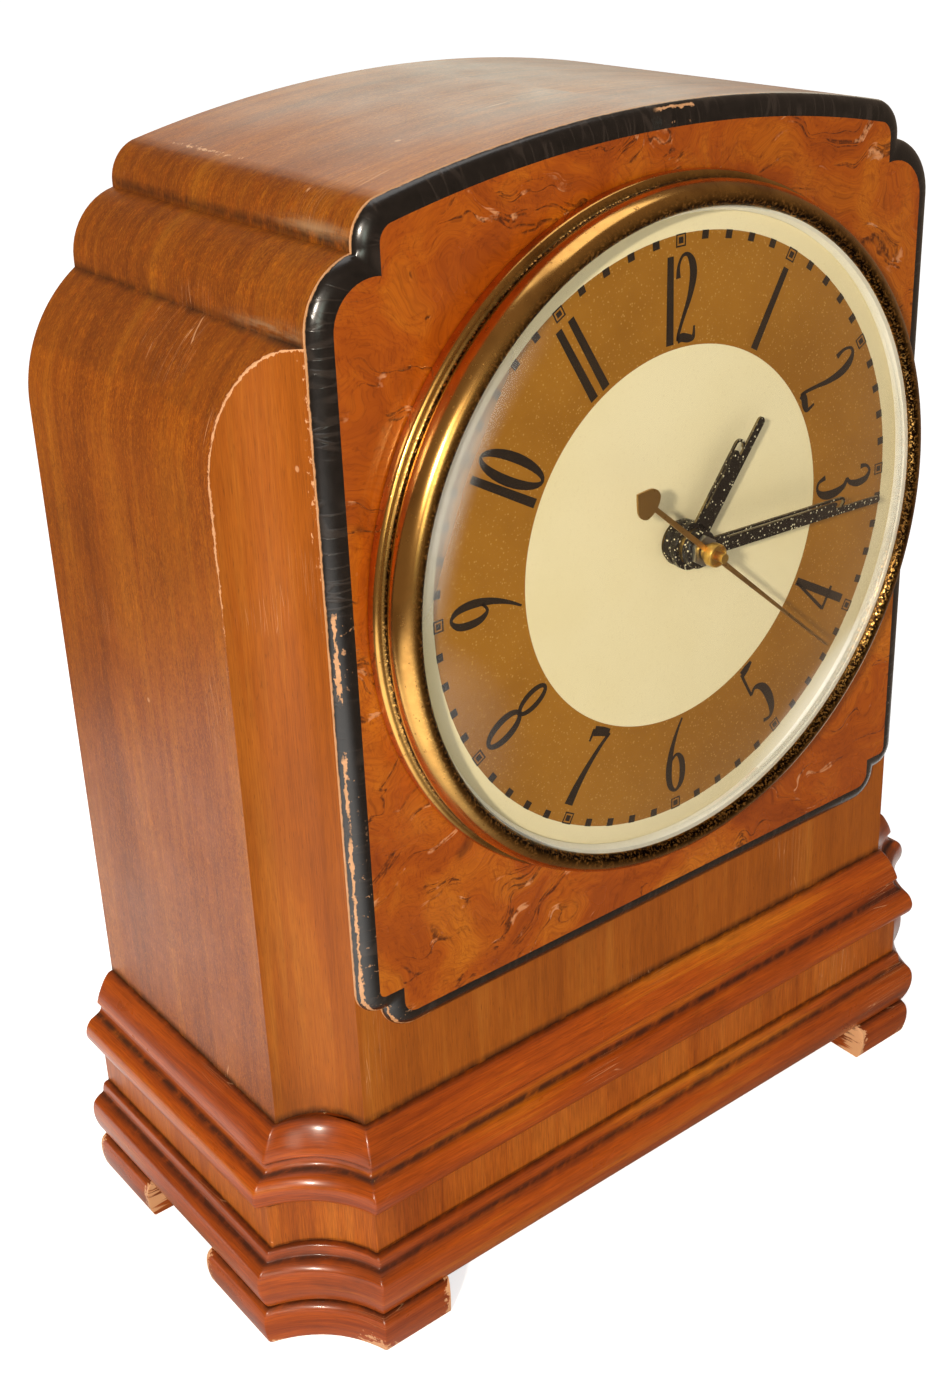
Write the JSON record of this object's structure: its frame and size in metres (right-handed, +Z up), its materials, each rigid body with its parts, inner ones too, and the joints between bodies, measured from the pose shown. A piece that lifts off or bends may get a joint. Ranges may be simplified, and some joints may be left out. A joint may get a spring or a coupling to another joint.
{
  "type": "electric mantel clock",
  "caption": "Wooden electric mantel clock with a shallow arched top, stepped shoulders, a raised front panel, a glazed brass bezel and a moulded base on bracket feet.",
  "frame": {"origin": "under the middle of the clock's bounding box, on the plane that the feet stand on", "axes": "+X to the right as seen from the front, +Y to the back, +Z up"},
  "size_m": [0.1968, 0.1156, 0.236],
  "materials": {
    "case_veneer": "lacquered straight-grained veneer",
    "burl": "lacquered burl veneer",
    "ebonised": "ebonised and lacquered",
    "moulding": "glossy stained mahogany",
    "frieze": "lacquered veneer",
    "softwood": "bare",
    "hardboard": "bare board",
    "bezel_brass": "polished and lacquered",
    "wheel_brass": "stamped",
    "dial_paint": "printed dial",
    "ring_paint": "pale enamel",
    "glass": "clear domed glass",
    "hand_black": "black paint",
    "steel": "plain",
    "lamination": "stacked laminations",
    "coil": "varnished wrap",
    "black_plastic": "moulded"
  },
  "bodies": {
    "case": {"base_core": "softwood", "base_bottom_moulding": "moulding", "base_frieze": "frieze", "base_top_moulding": "moulding", "foot_front_left": "moulding", "foot_front_right": "moulding", "foot_back_left": "moulding", "foot_back_right": "moulding", "case_hood": "case_veneer", "corner_block_left": "softwood", "corner_block_right": "softwood", "front_panel": "ebonised", "burl_veneer": "burl", "back_cover": "hardboard", "cover_screw_1": "steel", "cover_screw_2": "steel", "cover_screw_3": "steel", "cover_screw_4": "steel", "cord_bush": "black_plastic", "case_clamp_1": "steel", "case_clamp_2": "steel", "case_clamp_3": "steel", "clamp_screw_1": "steel", "clamp_screw_2": "steel", "clamp_screw_3": "steel", "bezel": "bezel_brass", "crystal": "glass", "reflector_ring": "ring_paint", "dial_plate": "dial_paint", "dial_pan": "steel", "movement_front_plate": "wheel_brass", "movement_back_plate": "wheel_brass", "plate_pillar_1": "wheel_brass", "plate_pillar_2": "wheel_brass", "plate_pillar_3": "wheel_brass", "plate_pillar_4": "wheel_brass", "stator": "lamination", "field_coil": "coil", "motor_bridge": "wheel_brass", "motor_post_left": "steel", "motor_post_right": "steel"},
    "rotor": {"rotor": "steel", "starter_knob": "black_plastic"},
    "first_gear": {"first_wheel": "wheel_brass"},
    "second_gear": {"second_wheel": "wheel_brass"},
    "seconds": {"seconds_arbor": "wheel_brass", "second_hand": "bezel_brass"},
    "third_gear": {"third_wheel": "wheel_brass"},
    "centre_gear": {"centre_wheel": "wheel_brass"},
    "minutes": {"cannon_pinion": "steel", "minute_hand": "hand_black"},
    "minute_gear": {"minute_wheel": "wheel_brass"},
    "hours": {"hour_wheel": "wheel_brass", "hour_hand": "hand_black"},
    "setting": {"set_shaft": "steel", "set_knob": "black_plastic"}
  },
  "joints": [
    {"name": "rotor_spin", "type": "hinge", "parent": "case", "child": "rotor", "pos_m": [-0.00921, 0, 0.13334], "axis": [0, -1, 0], "continuous": true},
    {"name": "first_wheel_spin", "type": "hinge", "parent": "case", "child": "first_gear", "pos_m": [0.00339, 0, 0.13334], "axis": [0, 1, 0], "continuous": true},
    {"name": "second_wheel_spin", "type": "hinge", "parent": "case", "child": "second_gear", "pos_m": [0.01273, 0, 0.14267], "axis": [0, 1, 0], "continuous": true},
    {"name": "second_hand_turn", "type": "hinge", "parent": "case", "child": "seconds", "pos_m": [0, 0, 0.1554], "axis": [0, 1, 0], "continuous": true},
    {"name": "third_wheel_spin", "type": "hinge", "parent": "case", "child": "third_gear", "pos_m": [-0.01273, 0, 0.16813], "axis": [0, 1, 0], "continuous": true},
    {"name": "centre_wheel_spin", "type": "hinge", "parent": "case", "child": "centre_gear", "pos_m": [0, 0, 0.1554], "axis": [0, 1, 0], "continuous": true},
    {"name": "minute_hand_turn", "type": "hinge", "parent": "case", "child": "minutes", "pos_m": [0, 0, 0.1554], "axis": [0, 1, 0], "continuous": true},
    {"name": "minute_wheel_spin", "type": "hinge", "parent": "case", "child": "minute_gear", "pos_m": [0.01018, 0, 0.16558], "axis": [0, 1, 0], "continuous": true},
    {"name": "hour_hand_turn", "type": "hinge", "parent": "case", "child": "hours", "pos_m": [0, 0, 0.1554], "axis": [0, 1, 0], "continuous": true},
    {"name": "set_knob_turn", "type": "hinge", "parent": "case", "child": "setting", "pos_m": [0.02458, 0, 0.16558], "axis": [0, 1, 0], "continuous": true}
  ],
  "couplings": [
    {"joint": "first_wheel_spin", "follows": "rotor_spin", "ratio": 0.16667},
    {"joint": "second_wheel_spin", "follows": "rotor_spin", "ratio": -0.033333},
    {"joint": "second_hand_turn", "follows": "rotor_spin", "ratio": 0.0041667},
    {"joint": "third_wheel_spin", "follows": "rotor_spin", "ratio": -0.00052083},
    {"joint": "centre_wheel_spin", "follows": "rotor_spin", "ratio": 0.000069444},
    {"joint": "minute_wheel_spin", "follows": "minute_hand_turn", "ratio": -0.33333},
    {"joint": "hour_hand_turn", "follows": "minute_hand_turn", "ratio": 0.083333},
    {"joint": "set_knob_turn", "follows": "minute_hand_turn", "ratio": 1}
  ]
}
